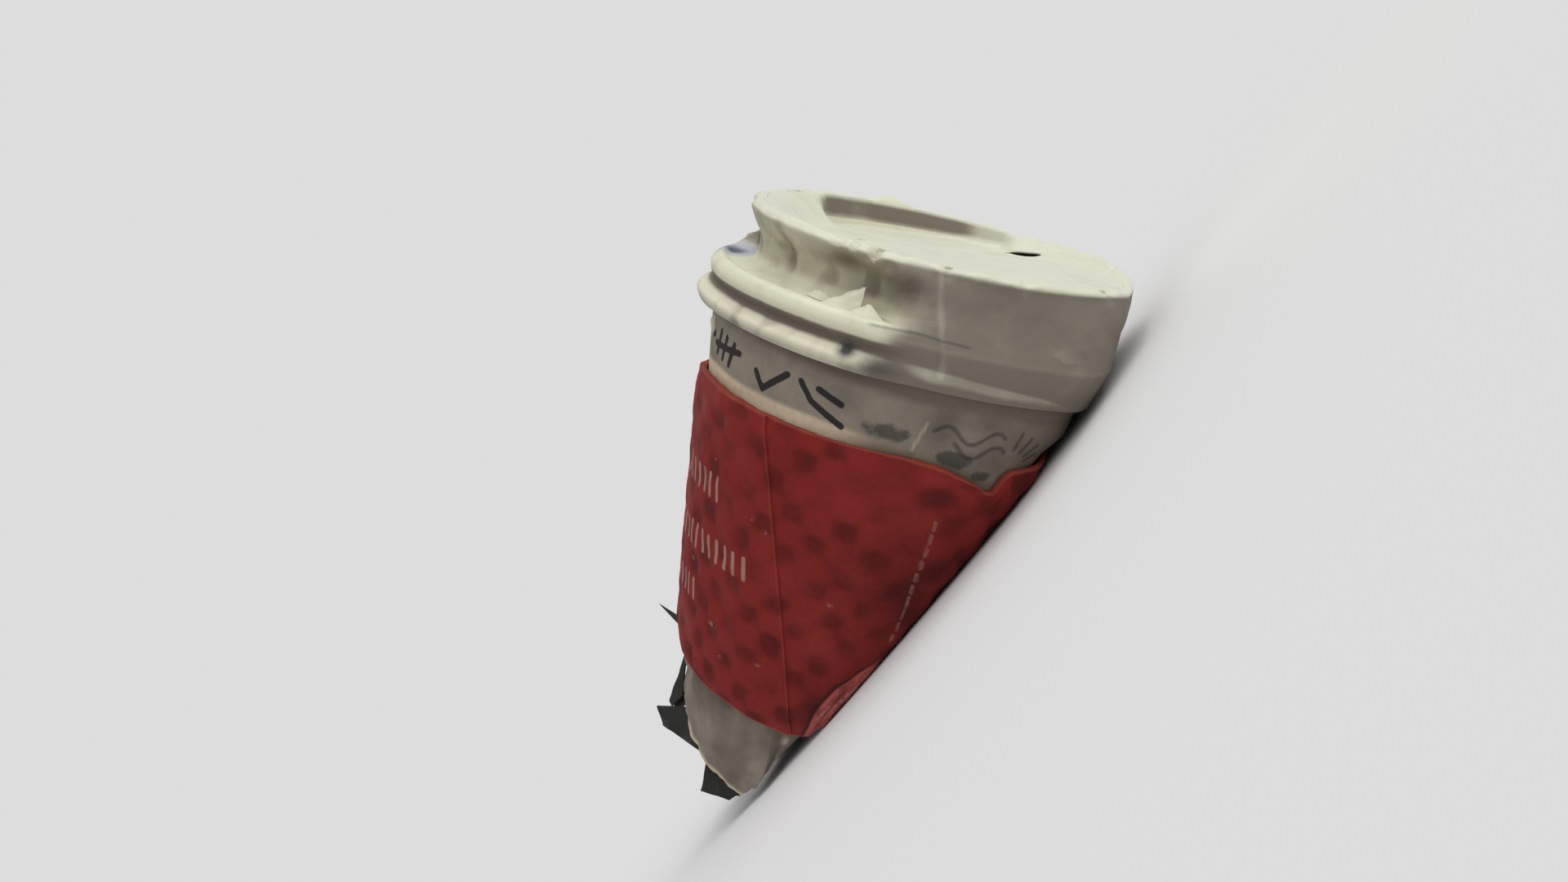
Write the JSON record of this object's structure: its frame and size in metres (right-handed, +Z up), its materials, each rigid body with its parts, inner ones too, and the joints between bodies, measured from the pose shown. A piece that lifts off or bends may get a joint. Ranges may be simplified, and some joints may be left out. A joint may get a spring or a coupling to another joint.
{
  "type": "crushed used paper coffee cup",
  "caption": "Used paper takeaway coffee cup with plastic lid and red embossed sleeve, crushed flat along one side and torn open at the base.",
  "frame": {"origin": "middle of the sleeve's crushed flat, on the ground that the cup lies on", "axes": "+Z up from the ground, +X along the ground from the torn base towards the lid; the cup's own axis rises 22.3 degrees from +X towards +Z"},
  "size_m": [0.1443, 0.0928, 0.0801],
  "materials": {
    "cup_paper": "stained and creased beige-grey paperboard",
    "dirty_paper": "torn paperboard black with dirt",
    "sleeve_board": "matt red embossed paperboard, scuffed",
    "lid_plastic": "thin cream plastic, dented and grimy"
  },
  "bodies": {
    "root": {"cup_sidewall": "cup_paper", "cup_bottom": "dirty_paper", "sleeve": "sleeve_board", "lid": "lid_plastic"}
  },
  "joints": []
}
